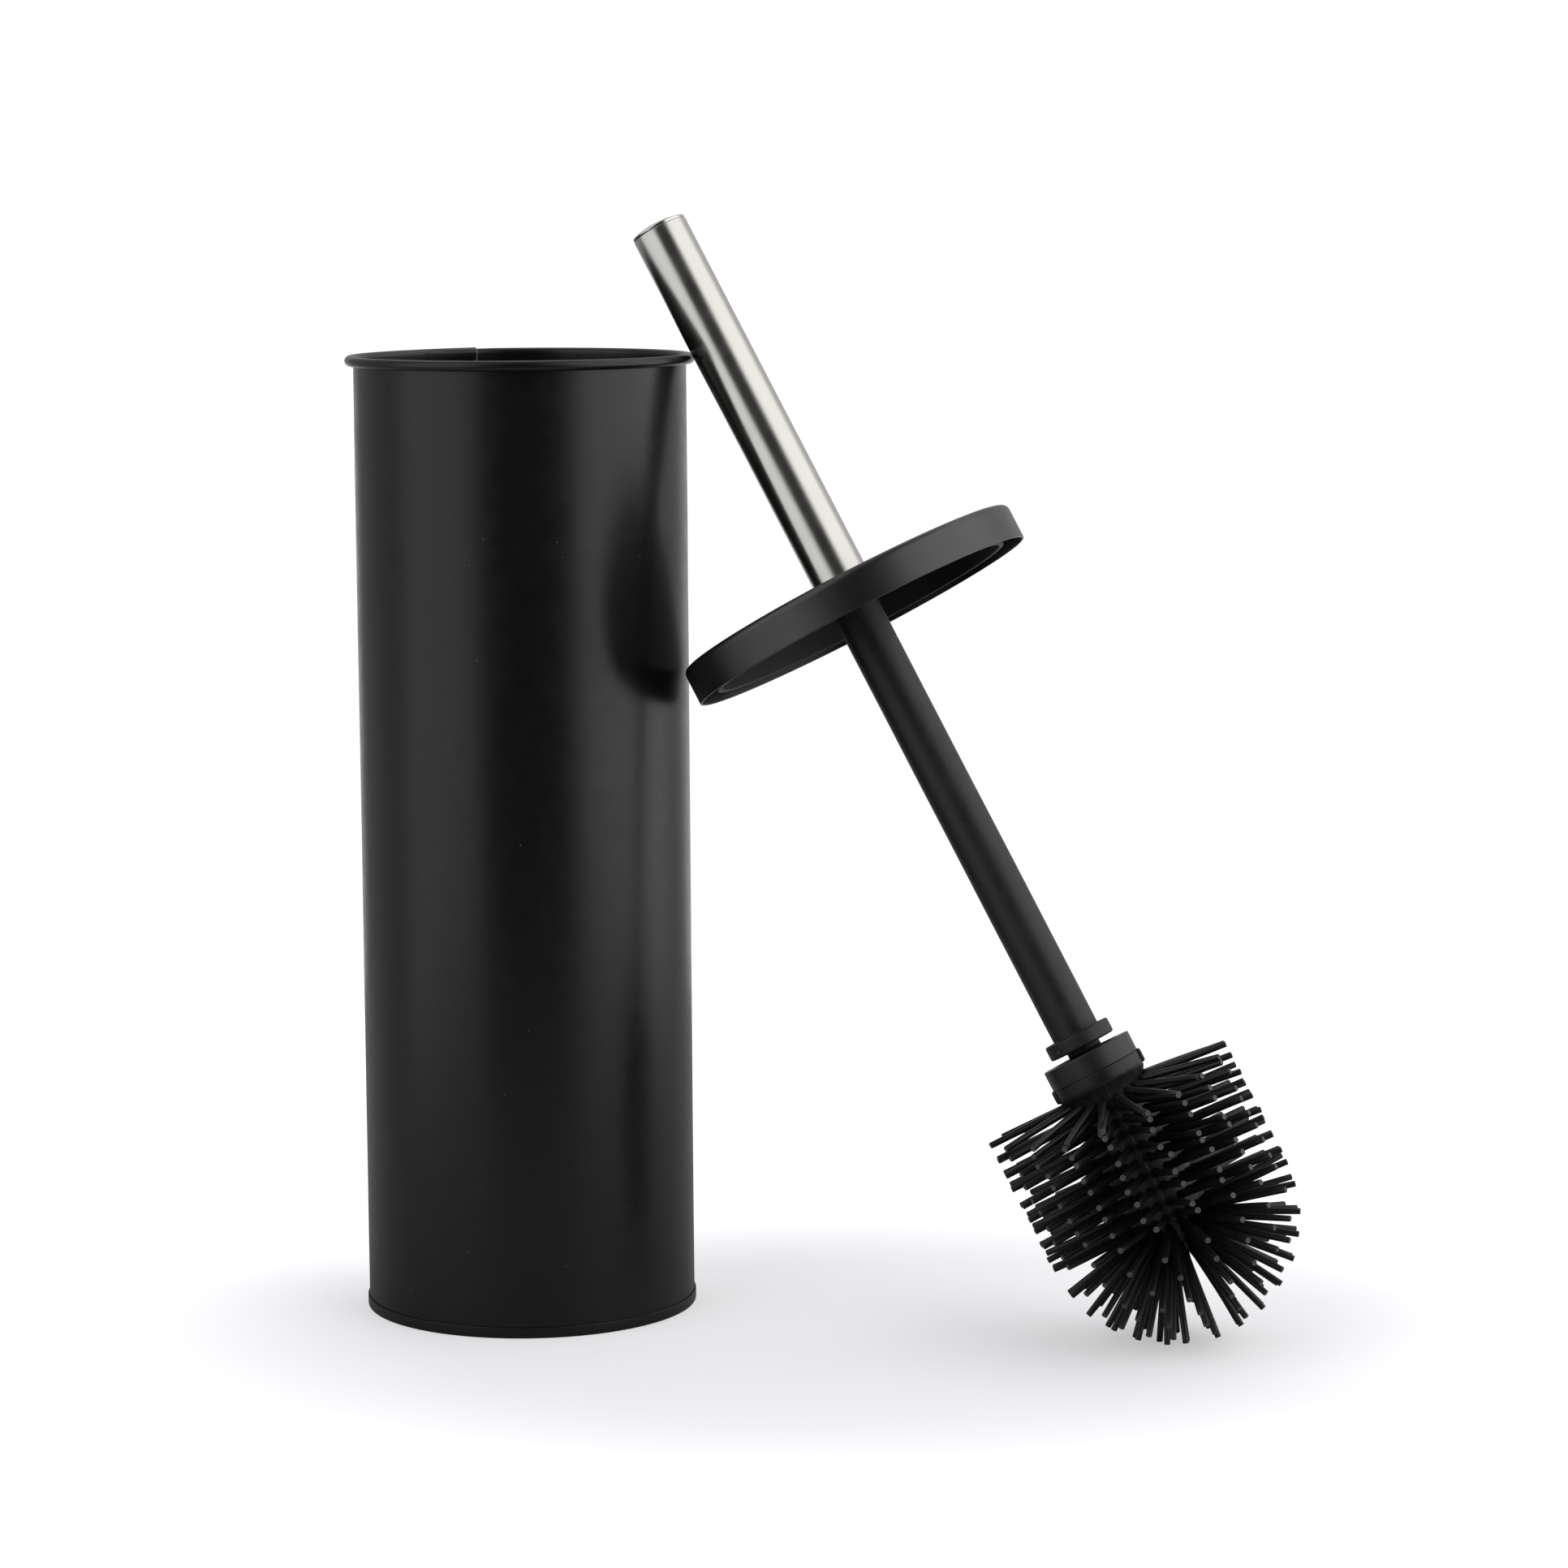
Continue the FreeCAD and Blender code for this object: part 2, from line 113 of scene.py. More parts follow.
def arc(centre_r, centre_z, radius, start, end, steps):
    """Outline points on an arc, from start to end in degrees anticlockwise."""
    turns = [math.radians(start + (end - start) * k / steps) for k in range(steps + 1)]
    return [(centre_r + radius * math.cos(t), centre_z + radius * math.sin(t)) for t in turns]


def run(start, end, steps):
    """Outline points on a straight run, without its first point."""
    (r0, z0), (r1, z1) = start, end
    return [(r0 + (r1 - r0) * k / steps, z0 + (z1 - z0) * k / steps) for k in range(1, steps + 1)]


def rounded(corners, closed=True):
    """Outline points from corners (r, z) or (r, z, rounding), the rounded ones with support loops."""
    points = []
    count = len(corners)
    for index, corner in enumerate(corners):
        here = Vector(corner[:2])
        ends = not closed and index in (0, count - 1)
        if len(corner) == 2 or ends:
            points.append(tuple(here))
            continue
        before = Vector(corners[index - 1][:2]) - here
        after = Vector(corners[(index + 1) % count][:2]) - here
        shorter = min(before.length, after.length)
        cut = min(corner[2], CORNER_SHARE * shorter)
        spare = min(SUPPORT, SUPPORT_SHARE * shorter)
        before.normalize()
        after.normalize()
        points.append(tuple(here + before * (cut + spare)))
        for step in range(CORNER_STEPS + 1):
            t = step / CORNER_STEPS
            curve = here + before * cut * (1 - t) ** 2 + after * cut * t**2
            points.append(tuple(curve))
        points.append(tuple(here + after * (cut + spare)))
    return points


def even_angles(count):
    """A full turn in equal steps, in radians."""
    return [2 * math.pi * k / count for k in range(count)]


def piece_from(name, work, place, body, material, nodes=()):
    """Make an object of a bmesh, put it in its frame and say what it rides on and stands for."""
    mesh = bpy.data.meshes.new(name)
    bmesh.ops.recalc_face_normals(work, faces=work.faces)
    for face in work.faces:
        face.smooth = True
    work.to_mesh(mesh)
    work.free()
    for each in material if isinstance(material, list) else [material]:
        mesh.materials.append(each)
    piece = bpy.data.objects.new(name, mesh)
    bpy.context.scene.collection.objects.link(piece)
    piece.matrix_world = place
    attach(piece, body)
    if nodes:
        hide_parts(*nodes)


def turned_mesh(outline, angles, closed=True, shape=None):
    """Turn an outline of (r, z) points round Z; shape(r, z, angle) may move each point."""
    work = bmesh.new()
    columns = []
    for angle in angles:
        column = []
        for r, z in outline:
            moved_r, moved_z = shape(r, z, angle) if shape else (r, z)
            spot = (moved_r * math.cos(angle), moved_r * math.sin(angle), moved_z)
            column.append(work.verts.new(spot))
        columns.append(column)
    rows = len(outline) if closed else len(outline) - 1
    for index, column in enumerate(columns):
        beside = columns[(index + 1) % len(columns)]
        for row in range(rows):
            above = (row + 1) % len(outline)
            work.faces.new((column[row], beside[row], beside[above], column[above]))
    bmesh.ops.remove_doubles(work, verts=work.verts, dist=1e-7)
    bmesh.ops.dissolve_degenerate(work, edges=work.edges, dist=1e-8)
    return work


def join_rings(work, rings, first_cut_row=None):
    """Faces between rings of points, in the second material from a row on if one is given."""
    for row, (lower, upper) in enumerate(zip(rings, rings[1:])):
        for k in range(len(lower)):
            beside = (k + 1) % len(lower)
            face = work.faces.new((lower[k], lower[beside], upper[beside], upper[k]))
            if first_cut_row is not None and row >= first_cut_row:
                face.material_index = 1


def round_box(work, low, high, edge):
    """Add a box with rounded edges to a bmesh."""
    made = bmesh.ops.create_cube(work, size=1.0)["verts"]
    size = Vector(high) - Vector(low)
    middle = (Vector(high) + Vector(low)) / 2
    for vert in made:
        vert.co = middle + Vector([a * b for a, b in zip(vert.co, size)])
    edges = list(dict.fromkeys(e for v in made for e in v.link_edges))
    bmesh.ops.bevel(work, geom=edges, offset=edge, segments=4, profile=0.5, affect="EDGES")


# ---------------------------------------------------------------- material helpers


class Tree:
    """Short names for building a node tree."""

    def __init__(self, tree):
        self.tree = tree

    def add(self, kind, inputs=None, **settings):
        node = self.tree.nodes.new(kind)
        for key, value in settings.items():
            setattr(node, key, value)
        for key, value in (inputs or {}).items():
            self.feed(node.inputs[key], value)
        return node

    def feed(self, socket, value):
        if isinstance(value, bpy.types.NodeSocket):
            self.tree.links.new(value, socket)
        else:
            socket.default_value = value

    def ranged(self, value, given, wanted):
        """Carry a value smoothly from one (low, high) range to another, and stop at its ends."""
        values = {"Value": value, "From Min": given[0], "From Max": given[1]}
        values.update({"To Min": wanted[0], "To Max": wanted[1]})
        return self.add("ShaderNodeMapRange", values, interpolation_type="SMOOTHSTEP").outputs["Result"]

    def maths(self, operation, *values):
        node = self.add("ShaderNodeMath", operation=operation)
        for socket, value in zip(node.inputs, values):
            self.feed(socket, value)
        return node.outputs[0]


class Nodes(Tree):
    """One material's node tree, which starts with its shader."""

    def __init__(self, name):
        self.material = bpy.data.materials.new(name)
        self.material.use_nodes = True
        super().__init__(self.material.node_tree)
        self.shader = self.tree.nodes["Principled BSDF"]
        self.place = self.add("ShaderNodeTexCoord").outputs["Object"]

    def set(self, **values):
        """Set the shader's sockets: base_color=... sets Base Color."""
        for key, value in values.items():
            name = key.replace("_", " ").title().replace("Ior", "IOR")
            self.feed(self.shader.inputs[name], value)

    def stretched(self, x, y, z):
        """The place on the piece, scaled along each axis."""
        values = {"Vector": self.place, "Scale": (x, y, z)}
        return self.add("ShaderNodeMapping", values).outputs["Vector"]

    def grain(self, size, detail=4.0, rough=0.6, vector=None):
        """Noise whose features are about this size, in metres."""
        values = {"Vector": vector or self.place, "Scale": 1 / size}
        values.update({"Detail": detail, "Roughness": rough})
        return self.add("ShaderNodeTexNoise", values).outputs["Fac"]

    def cells(self, size):
        """Distance to the nearest of many scattered points, about this far apart, in metres."""
        values = {"Vector": self.place, "Scale": 1 / size, "Randomness": 1.0}
        return self.add("ShaderNodeTexVoronoi", values).outputs["Distance"]

    def blend(self, first, weight, second):
        """The weighted mean of two values; weight is the first one's."""
        first_part = self.maths("MULTIPLY", first, weight)
        return self.maths("ADD", first_part, self.maths("MULTIPLY", second, 1 - weight))

    def mix(self, share, first, second):
        """A colour between two colours."""
        node = self.add("ShaderNodeMix", data_type="RGBA")
        self.feed(node.inputs[0], share)
        colour_sockets = node.inputs[6:8]  # the node has others for numbers and vectors
        for socket, value in zip(colour_sockets, (first, second)):
            self.feed(socket, value if isinstance(value, bpy.types.NodeSocket) else (*value, 1))
        return node.outputs[2]

    def bump(self, height, depth, over=None):
        """Bump from a 0 to 1 height that stands for this depth, in metres."""
        values = {"Height": height, "Distance": depth, "Strength": 1.0}
        if over is not None:
            values["Normal"] = over
        return self.add("ShaderNodeBump", values).outputs["Normal"]


def grey(value):
    return (value, value, value)


# ---------------------------------------------------------------- materials

MIDDLE = (0.3, 0.7)  # where nearly all of a noise's values lie
FULL = (0.0, 1.0)
FADING = (1.0, 0.0)
DUST_GREY = 0.10
SCUFF_GREY = 0.09


def painted_steel(name, tone, rough, gloss):
    """Powder-coated steel: fine orange peel, soft waves in the sheet, a few specks of dust."""
    nodes = Nodes(name)
    peel = nodes.grain(0.9 * MM, detail=2.0)
    wave = nodes.grain(14 * MM, detail=1.0)
    mottle = nodes.grain(6 * MM, detail=3.0)
    dust = nodes.ranged(nodes.cells(5.5 * MM), (0.028, 0.05), FADING)
    rare = nodes.ranged(nodes.grain(9 * MM, detail=0.0), (0.56, 0.60), FULL)
    specks = nodes.maths("MULTIPLY", dust, rare)
    shade = nodes.mix(mottle, grey(tone * 0.8), grey(tone * 1.25))
    nodes.set(
        base_color=nodes.mix(specks, shade, grey(DUST_GREY)),
        roughness=nodes.ranged(mottle, MIDDLE, (rough - 0.02, rough + 0.025)),
        specular_ior_level=gloss,
        normal=nodes.bump(peel, 0.009 * MM, over=nodes.bump(wave, 0.045 * MM)),
    )
    return nodes.material


def brushed_steel(name):
    """Stainless tube, brushed round and round: short fine scratches across the axis."""
    nodes = Nodes(name)
    turns = nodes.grain(1 * MM, detail=5.0, rough=0.7, vector=nodes.stretched(0.35, 0.35, 14))
    fine = nodes.grain(1 * MM, detail=2.0, vector=nodes.stretched(2.2, 2.2, 5))
    patch = nodes.grain(8 * MM, detail=2.0)
    scratches = nodes.blend(turns, 0.65, fine)
    nodes.set(
        base_color=nodes.mix(scratches, (0.54, 0.53, 0.505), (0.63, 0.62, 0.59)),
        metallic=1.0,
        roughness=nodes.ranged(nodes.maths("ADD", scratches, patch), (0.7, 1.3), (0.19, 0.25)),
        normal=nodes.bump(scratches, 0.0015 * MM),
    )
    return nodes.material


def polished_steel(name):
    """Mirror-like stainless steel with a thin haze and hairline scratches."""
    nodes = Nodes(name)
    haze = nodes.grain(2.5 * MM, detail=3.0)
    hairs = nodes.grain(1 * MM, detail=3.0, vector=nodes.stretched(0.4, 5.0, 5.0))
    nodes.set(
        base_color=nodes.mix(haze, (0.56, 0.56, 0.55), (0.66, 0.66, 0.65)),
        metallic=1.0,
        roughness=nodes.ranged(haze, MIDDLE, (0.05, 0.11)),
        normal=nodes.bump(hairs, 0.001 * MM),
    )
    return nodes.material


def zinc_steel(name):
    """Dull zinc plating with a patchy shine."""
    nodes = Nodes(name)
    patch = nodes.grain(1.6 * MM, detail=4.0)
    nodes.set(
        base_color=nodes.mix(patch, (0.42, 0.42, 0.41), (0.60, 0.60, 0.58)),
        metallic=1.0,
        roughness=nodes.ranged(patch, MIDDLE, (0.3, 0.45)),
        normal=nodes.bump(patch, 0.01 * MM),
    )
    return nodes.material


def moulded_plastic(name, tone, rough, texture, cloud=0.25, scuffs=0.0):
    """Black moulded plastic: a spark-eroded texture, cloudy tone and a few light scuffs."""
    nodes = Nodes(name)
    erode = nodes.grain(0.35 * MM, detail=3.0)
    clouds = nodes.grain(5 * MM, detail=4.0)
    flow = nodes.grain(3 * MM, detail=2.0, vector=nodes.stretched(1.0, 1.0, 0.25))
    cloudy = nodes.blend(clouds, 0.6, flow)
    shade = nodes.mix(
        nodes.ranged(cloudy, MIDDLE, FULL),
        grey(tone * (1 - cloud)),
        grey(tone * (1 + cloud)),
    )
    scratchy = nodes.grain(1.1 * MM, detail=2.0, vector=nodes.stretched(1.0, 1.0, 0.4))
    marks = nodes.ranged(scratchy, (0.70, 0.78), (0.0, scuffs))
    nodes.set(
        base_color=nodes.mix(marks, shade, grey(SCUFF_GREY)),
        roughness=nodes.ranged(cloudy, MIDDLE, (rough - 0.06, rough + 0.06)),
        specular_ior_level=0.5,
        normal=nodes.bump(erode, texture),
    )
    return nodes.material


def rubber(name, tone, rough):
    """Soft black rubber with a faint bloom and a fine grain."""
    nodes = Nodes(name)
    bloom = nodes.grain(4 * MM, detail=3.0)
    fine = nodes.grain(0.5 * MM, detail=2.0)
    nodes.set(
        base_color=nodes.mix(bloom, grey(tone * 0.75), grey(tone * 1.3)),
        roughness=nodes.ranged(bloom, MIDDLE, (rough - 0.05, rough + 0.07)),
        specular_ior_level=0.45,
        normal=nodes.bump(fine, 0.02 * MM),
    )
    return nodes.material


HOLDER_PAINT = painted_steel("holder_paint", tone=0.005, rough=0.30, gloss=0.42)
# a painted highlight: a paler grey for the faces along the lap's free edge
LAP_EDGE_HIGHLIGHT = painted_steel("lap_edge_painted_highlight", tone=0.09, rough=0.45, gloss=0.5)
LID_PAINT = painted_steel("lid_paint", tone=0.006, rough=0.34, gloss=0.85)
TUBE_STEEL = brushed_steel("brushed_tube")
CAP_STEEL = polished_steel("polished_cap")
STUD_STEEL = zinc_steel("stud_steel")
STEM_PLASTIC = moulded_plastic("stem_plastic", 0.008, 0.48, texture=0.04 * MM, cloud=0.35, scuffs=0.55)
RING_PLASTIC = moulded_plastic("ring_plastic", 0.014, 0.36, texture=0.01 * MM)
LINER_PLASTIC = moulded_plastic("liner_plastic", 0.004, 0.56, texture=0.01 * MM)
INSERT_PLASTIC = moulded_plastic("insert_plastic", 0.016, 0.5, texture=0.02 * MM)
RUBBER = rubber("bristle_rubber", tone=0.007, rough=0.40)
# the bristles' end faces and rounded tip edges get a paler grey than their sides
PALE_TIP_RUBBER = rubber("bristle_tips", tone=0.085, rough=0.6)


# ---------------------------------------------------------------- holder

SHEET = 0.5 * MM
WALL = base.outer - SHEET  # outside of the wall: the base's lip stands one sheet proud
WALL_INNER = WALL - SHEET
CURL = (shell.outer - WALL_INNER) / 2
CURL_END = -100.0  # where the curl stops, under the bead
HEM_HEIGHT = 3.2 * MM
RECESS = 4.0 * MM
LAP = math.radians(109)  # the free edge of the inner sheet, at the lap joint of the wall
LAP_WIDTH = math.radians(16)
LAP_FADE = math.radians(5)
LAP_STEP = 0.9 * SHEET  # the inner sheet stands this far in from the rest of the wall
OUTER_DIP = 0.7 * SHEET  # and the outer sheet sinks this far beside its own edge
EDGE_WIDTH = math.radians(0.7)
PINCH_WIDTH = math.radians(44)  # the curl is squeezed uneven on this side of the lap
PINCH_DEPTH = 0.75 * MM
PINCH_WAVE = 0.28 * MM
PINCH_RISE = 0.30 * MM
BEFORE_LAP = math.radians(6)  # the rim sinks a little on the lap's other side
BEFORE_LAP_SINK = 0.10 * MM
RIPPLE = 0.10 * MM  # slow waves in the rolled sheet
DENT = 0.03 * MM  # and smaller ones


def lap_side(angle):
    """How far past the lap's free edge an angle lies, in radians; negative before it."""
    return (angle - LAP + math.pi) % (2 * math.pi) - math.pi


def wall_shape(r, z, angle):
    """The rolled sheet as it really is: lapped, slightly wavy, pinched where the curl starts."""
    side = lap_side(angle)
    out = Vector((math.cos(angle), math.sin(angle), 0))
    ripple = noise.noise(out * 1.6 + UP * (z / (90 * MM))) * RIPPLE
    dents = noise.noise(out * 4.0 + UP * (z / (22 * MM))) * DENT
    below = shell.high - z
    calm = smooth_step(z, 4 * MM, 30 * MM)
    r += (ripple + dents) * calm * smooth_step(below, 2 * MM, 25 * MM)
    inside = r < WALL_INNER + 0.4 * SHEET
    lap_fades = 1 - smooth_step(side, LAP_WIDTH, LAP_WIDTH + LAP_FADE)
    if 0 < side < LAP_WIDTH + LAP_FADE and inside:
        under_top = 1 - smooth_step(z, shell.high - 1.2 * MM, shell.high)
        r -= LAP_STEP * lap_fades * under_top
    outside = r > WALL - 0.4 * SHEET
    if LAP_WIDTH < side < LAP_WIDTH + LAP_FADE and outside and z < shell.high - 2 * CURL:
        r -= OUTER_DIP * lap_fades
    top_edge = 1 - smooth_step(below, 0.4 * MM, 2.4 * MM)
    if 0 < side < PINCH_WIDTH:
        fade = (1 - side / PINCH_WIDTH) ** 1.4
        near_rim = 1 - smooth_step(below, 1.2 * MM, 9 * MM)
        inner_half = smooth_step(-r, -(WALL_INNER + CURL), -(WALL_INNER + 0.1 * CURL))
        wave = math.sin(3.2 * math.pi * side / PINCH_WIDTH + 0.8)
        r -= (PINCH_DEPTH + PINCH_WAVE * wave) * fade * near_rim * inner_half
        z += PINCH_RISE * fade * near_rim * top_edge
    elif -BEFORE_LAP < side <= 0:
        z -= BEFORE_LAP_SINK * (1 + side / BEFORE_LAP) * top_edge
    return r, z


def holder_angles():
    """Even columns, closer near the lap, with a pair of columns at each sheet's free edge."""
    tiny = math.radians(0.04)
    step = math.radians(0.45)
    near = [LAP + k * step for k in range(-16, 110)]
    edges = [LAP - tiny, LAP + tiny, LAP + LAP_WIDTH - tiny, LAP + LAP_WIDTH + tiny]
    clear = [a for a in near if min(abs(a - e) for e in edges) > 4 * tiny]
    return sorted(even_angles(FINE) + clear + edges)


def paint_lap_edge_highlight(work):
    """The lap's free edge is painted paler: a painted highlight along it."""
    for face in work.faces:
        middle = face.calc_center_median()
        side = lap_side(math.atan2(middle.y, middle.x))
        wander = EDGE_WIDTH * (1 + 0.6 * noise.noise(Vector((0, 0, middle.z / (2 * MM)))))
        inside = math.hypot(middle.x, middle.y) < WALL_INNER + 0.2 * SHEET
        if inside and -EDGE_WIDTH / 4 < side < wander:
            face.material_index = 1


def curl_end(bead_r, bead_z):
    """Outline points round the free edge of the curled sheet."""
    end = math.radians(CURL_END)
    outward = Vector((math.cos(end), math.sin(end)))
    onward = Vector((math.sin(end), -math.cos(end)))
    middle = Vector((bead_r, bead_z)) + outward * (CURL - SHEET / 2)
    points = []
    for k in (1, 2, 3):
        turn = math.pi * k / 4
        spot = middle + (onward * math.sin(turn) - outward * math.cos(turn)) * (SHEET / 2)
        points.append((spot.x, spot.y))
    return points


def make_wall():
    bead_r = WALL_INNER + CURL
    bead_z = shell.high - CURL
    foot = SHEET
    outline = [(WALL_INNER, foot), (WALL, foot)]
    outline += run((WALL, foot), (WALL, HEM_HEIGHT), steps=2)
    outline += run((WALL, HEM_HEIGHT), (WALL, bead_z - 2 * MM), steps=56)
    outline += run((WALL, bead_z - 2 * MM), (WALL, bead_z), steps=2)
    outline += arc(bead_r, bead_z, CURL - SHEET, 180, CURL_END, steps=26)[1:]
    outline += curl_end(bead_r, bead_z)
    outline += arc(bead_r, bead_z, CURL, CURL_END, 180, steps=36)
    outline += run((WALL_INNER, bead_z), (WALL_INNER, bead_z - 12 * MM), steps=10)
    outline += run((WALL_INNER, bead_z - 12 * MM), (WALL_INNER, foot), steps=40)[:-1]
    work = turned_mesh(outline, holder_angles(), shape=wall_shape)
    paint_lap_edge_highlight(work)
    paints = [HOLDER_PAINT, LAP_EDGE_HIGHLIGHT]
    piece_from("holder_wall", work, HOLDER, "holder", paints, ["holder_shell"])


def make_hem():
    """The bottom plate, folded up round the wall's lower edge."""
    leg = WALL_INNER - SHEET
    lip = base.outer
    corners = [
        (0, RECESS - SHEET),
        (leg - 2 * MM, RECESS - SHEET, 0.3 * MM),
        (leg, RECESS - SHEET, 0.2 * MM),
        (leg, 0, 0.45 * MM),
        (lip - 0.05 * MM, 0, 0.5 * MM),
        (lip, HEM_HEIGHT * 0.5, 0.8 * MM),
        (lip - 0.04 * MM, HEM_HEIGHT, 0.4 * MM),
        (WALL + 0.02 * MM, HEM_HEIGHT - 0.25 * MM),
        (WALL + 0.02 * MM, SHEET),
        (WALL_INNER, SHEET),
        (WALL_INNER - 0.03 * MM, RECESS, 0.3 * MM),
        (WALL_INNER - 2 * MM, RECESS - 0.05 * MM, 0.3 * MM),
        (0, RECESS - 0.05 * MM),
    ]
    work = turned_mesh(rounded(corners, closed=False), even_angles(FINE), closed=False)
    piece_from("holder_hem", work, HOLDER, "holder", HOLDER_PAINT, ["holder_base"])


# ---------------------------------------------------------------- handle

TUBE_BORE = tube.outer - 0.8 * MM
TUBE_TOP = tube.high - 0.5 * MM  # stops short of the CAD tube, where the cap's straight edge shows
CAP_EDGE = tube.outer - 0.06 * MM
CAP_RIM = tube.high + 0.25 * MM  # the cap's straight edge ends here
DOME_START = 0.12 * MM
DOME_FULLNESS = 2.4
DOME_STEPS = 14


def make_tube():
    outline = [
        (TUBE_BORE, tube.low, 0.1 * MM),
        (tube.outer, tube.low, 0.18 * MM),
        (tube.outer, TUBE_TOP, 0.12 * MM),
        (TUBE_BORE, TUBE_TOP, 0.1 * MM),
    ]
    work = turned_mesh(rounded(outline), even_angles(COARSE))
    piece_from("handle_grip", work, BRUSH, "handle", TUBE_STEEL, ["handle_tube"])


def make_end_cap():
    """The cap: a plug in the tube, a straight edge above it and a low dome."""
    outline = [
        (0, cap.low),
        (TUBE_BORE, cap.low),
        (TUBE_BORE, TUBE_TOP - 0.1 * MM),
        (TUBE_BORE, TUBE_TOP + 0.05 * MM),
        (CAP_EDGE - 0.15 * MM, TUBE_TOP + 0.05 * MM),
        (CAP_EDGE, TUBE_TOP + 0.2 * MM),
        (CAP_EDGE, CAP_RIM),
        (CAP_EDGE - 0.05 * MM, CAP_RIM + 0.1 * MM),
    ]
    rise = cap.high - CAP_RIM - DOME_START
    for k in range(1, DOME_STEPS + 1):
        share = k / DOME_STEPS
        lift = DOME_START + rise * (1 - (1 - share) ** DOME_FULLNESS)
        outline.append((CAP_EDGE * (1 - share), CAP_RIM + lift))
    work = turned_mesh(outline, even_angles(COARSE), closed=False)
    piece_from("handle_dome", work, BRUSH, "handle", CAP_STEEL, ["handle_end_cap"])


# ---------------------------------------------------------------- lid

LID_SHEET = 0.6 * MM
LID_CORNER = 2.0 * MM
LID_WANDER = 0.12 * MM
LINER_SHEET = 1.5 * MM
LINER_RING_R = 45.5 * MM
LINER_BELOW_LID = 0.02 * MM  # so that the two don't share a face


def lid_shape(r, z, angle):
    """A pressed cap is never quite true: its skirt wanders in and out a little."""
    skirt = smooth_step(r, cover.outer - 4 * MM, cover.outer - 1 * MM)
    low = 1 - smooth_step(z, cover.low, cover.high - 2.5 * MM)
    out = Vector((math.cos(angle), math.sin(angle), 0))
    return r + noise.noise(out * 1.7 + Vector((5, 3, 1))) * LID_WANDER * skirt * low, z


def make_lid():
    top = cover.high
    under = top - LID_SHEET
    skirt_inner = cover.outer - LID_SHEET
    outline = [
        (cover.inner, under, 0.12 * MM),
        (skirt_inner, under, 1.5 * MM),
        (skirt_inner, cover.low, 0.2 * MM),
        (cover.outer, cover.low, 0.34 * MM),
        (cover.outer, top, LID_CORNER),
        (cover.inner, top, 0.15 * MM),
    ]
    work = turned_mesh(rounded(outline), even_angles(FINE), shape=lid_shape)
    piece_from("lid_cap", work, BRUSH, "lid", LID_PAINT, ["lid_cover"])


def make_liner():
    """The plastic plate under the lid, with the ring that centres it in the holder's mouth."""
    plate_low = liner.high - LINER_SHEET
    plate_high = liner.high - LINER_BELOW_LID
    ring_inner = LINER_RING_R - LINER_SHEET
    outline = [
        (liner.inner, plate_low, 0.3 * MM),
        (ring_inner, plate_low, 0.5 * MM),
        (ring_inner, liner.low, 0.4 * MM),
        (LINER_RING_R, liner.low, 0.4 * MM),
        (LINER_RING_R, plate_low, 0.4 * MM),
        (liner.outer, plate_low, 0.3 * MM),
        (liner.outer, plate_high, 0.1 * MM),
        (liner.inner, plate_high, 0.1 * MM),
    ]
    work = turned_mesh(rounded(outline), even_angles(FINE))
    piece_from("lid_insert", work, BRUSH, "lid", LINER_PLASTIC, ["lid_liner"])


# ---------------------------------------------------------------- stem

COLLAR_R = 9.75 * MM
COLLAR_LOW = HEAD_BELOW_COLLAR
COLLAR_HIGH = COLLAR_LOW + 4.3 * MM
ROD_R = 6.85 * MM
ROD_WANDER = 0.05 * MM
ROD_SEAM = 0.05 * MM  # how far the parting lines stand proud
NECK_R = 5.0 * MM
STUD_R = 4.0 * MM
STUD_DEPTH = 18 * MM
SHOULDER = rod.high - 2.25 * MM
SPIGOT_R = 5.0 * MM
THREAD_PITCH = 2.5 * MM
THREAD_DEPTH = 0.45 * MM
THREAD_TOP = COLLAR_LOW - 2.6 * MM
THREAD_ROWS = 76
MARK_ANGLE = 228.0  # the ejector mark on the collar, round the brush's own axis
MARK_SIDES = 28
# the ejector mark's outline from its foot inwards, in mm: (distance from its middle, height)
MARK_OUTLINE = [
    (1.30, -0.25),
    (1.30, 0.06),
    (1.17, 0.20),
    (0.98, 0.20),
    (0.86, 0.03),
    (0.4, 0.02),
    (0.0, 0.02),
]


def long_runs_split(outline, longest):
    """Put extra points on an outline's long runs along the axis."""
    points = [outline[0]]
    for start, end in zip(outline, outline[1:]):
        upright = start[0] == end[0]
        steps = max(1, math.ceil(abs(end[1] - start[1]) / longest)) if upright else 1
        points += run(start, end, steps)
    return points


def stem_shape(r, z, angle):
    """Thread on the spigot, and the faint unevenness and parting lines of a moulded rod."""
    if rod.low + 0.5 * MM < z < THREAD_TOP and SPIGOT_R - MM < r:
        turn = (z / THREAD_PITCH - angle / (2 * math.pi)) % 1.0
        ridge = smooth_step(1 - abs(2 * turn - 1), 0.25, 0.75)
        start = smooth_step(THREAD_TOP - z, 0, THREAD_PITCH)
        return r - THREAD_DEPTH * (1 - ridge * start), z
    if abs(r - ROD_R) < 0.05 * MM and COLLAR_HIGH + MM < z < SHOULDER - MM:
        out = Vector((math.cos(angle), math.sin(angle), 0))
        r += noise.noise(out * 1.2 + UP * (z / (25 * MM))) * ROD_WANDER - 0.03 * MM
        r += ROD_SEAM * (1 - smooth_step(abs(math.sin(angle)), 0.01, 0.05))
    return r, z


